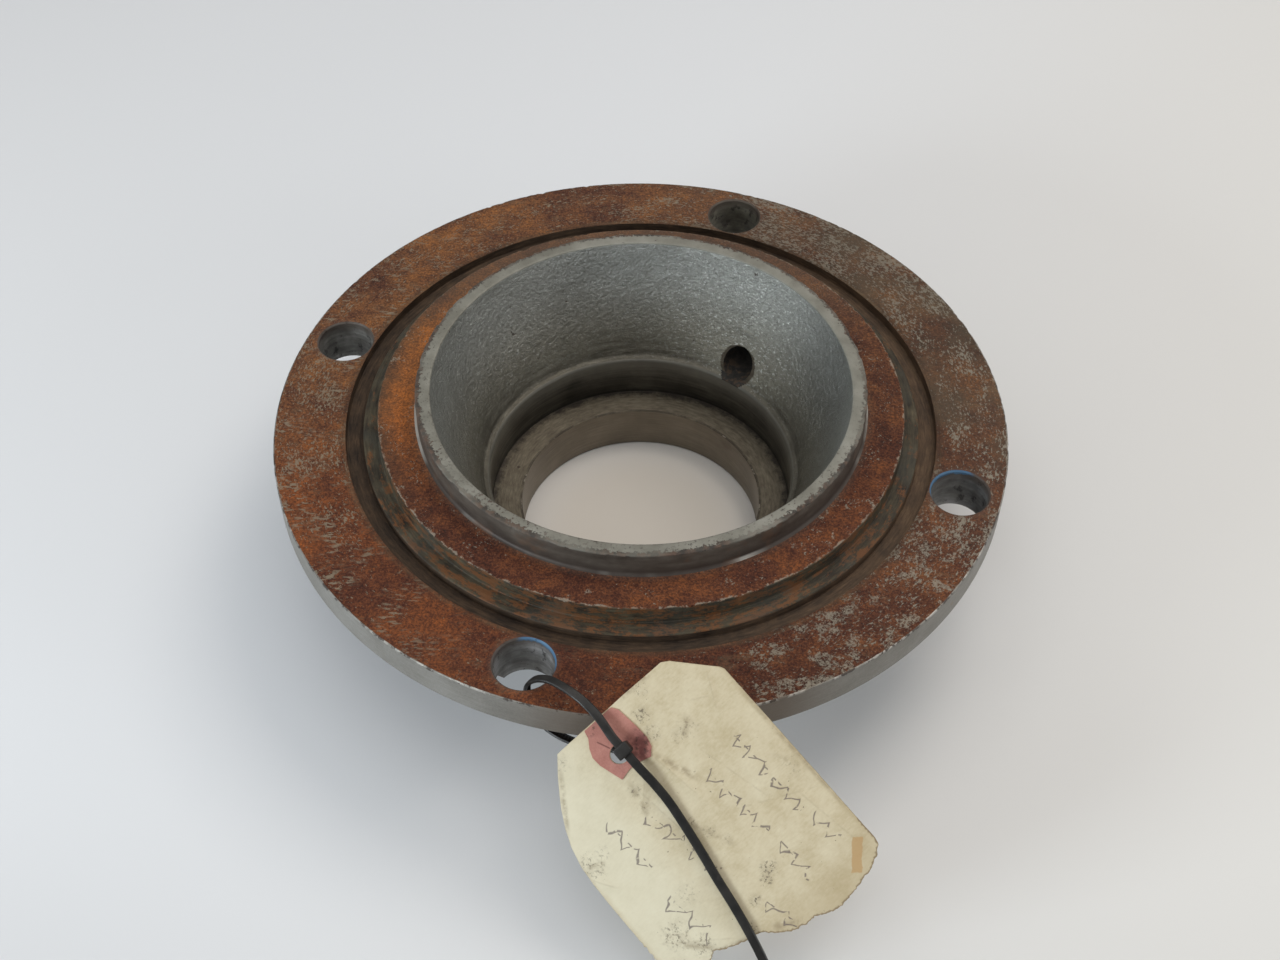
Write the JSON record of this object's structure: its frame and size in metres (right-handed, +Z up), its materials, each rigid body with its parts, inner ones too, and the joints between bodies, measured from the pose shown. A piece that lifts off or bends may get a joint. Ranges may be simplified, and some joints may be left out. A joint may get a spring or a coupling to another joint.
{
  "type": "stuffing-box cover",
  "caption": "Round machined cast-iron stuffing-box cover with a bolting flange, raised lip, tapered seal chamber, through bore and a torn card tag on a cable tie.",
  "frame": {"origin": "centre of the foot ring that the cover stands on", "axes": "+Z up along the bore, out of the seal chamber's mouth; -Y towards the side that the tag hangs on"},
  "size_m": [0.2286, 0.3136, 0.0695],
  "materials": {
    "rusted_casting": "flash-rusted machined faces, bare steel-grey rim and metallic grey paint in the chamber",
    "manila_card": "matt manila card, creased and grimy",
    "fibre_patch": "matt dusty-pink fibre paper",
    "black_nylon": "satin black nylon"
  },
  "bodies": {
    "cover": {"cover_casting": "rusted_casting"},
    "tag_and_tie": {"tag_card": "manila_card", "tag_patch_front": "fibre_patch", "tag_patch_back": "fibre_patch", "cable_tie_strap": "black_nylon", "cable_tie_head": "black_nylon"}
  },
  "joints": [
    {"name": "tag_swing", "type": "hinge", "parent": "cover", "child": "tag_and_tie", "pos_m": [-0.0333, -0.0996, 0.046], "axis": [-0.9483, 0.3173, 0], "range_deg": [0, 25]}
  ]
}
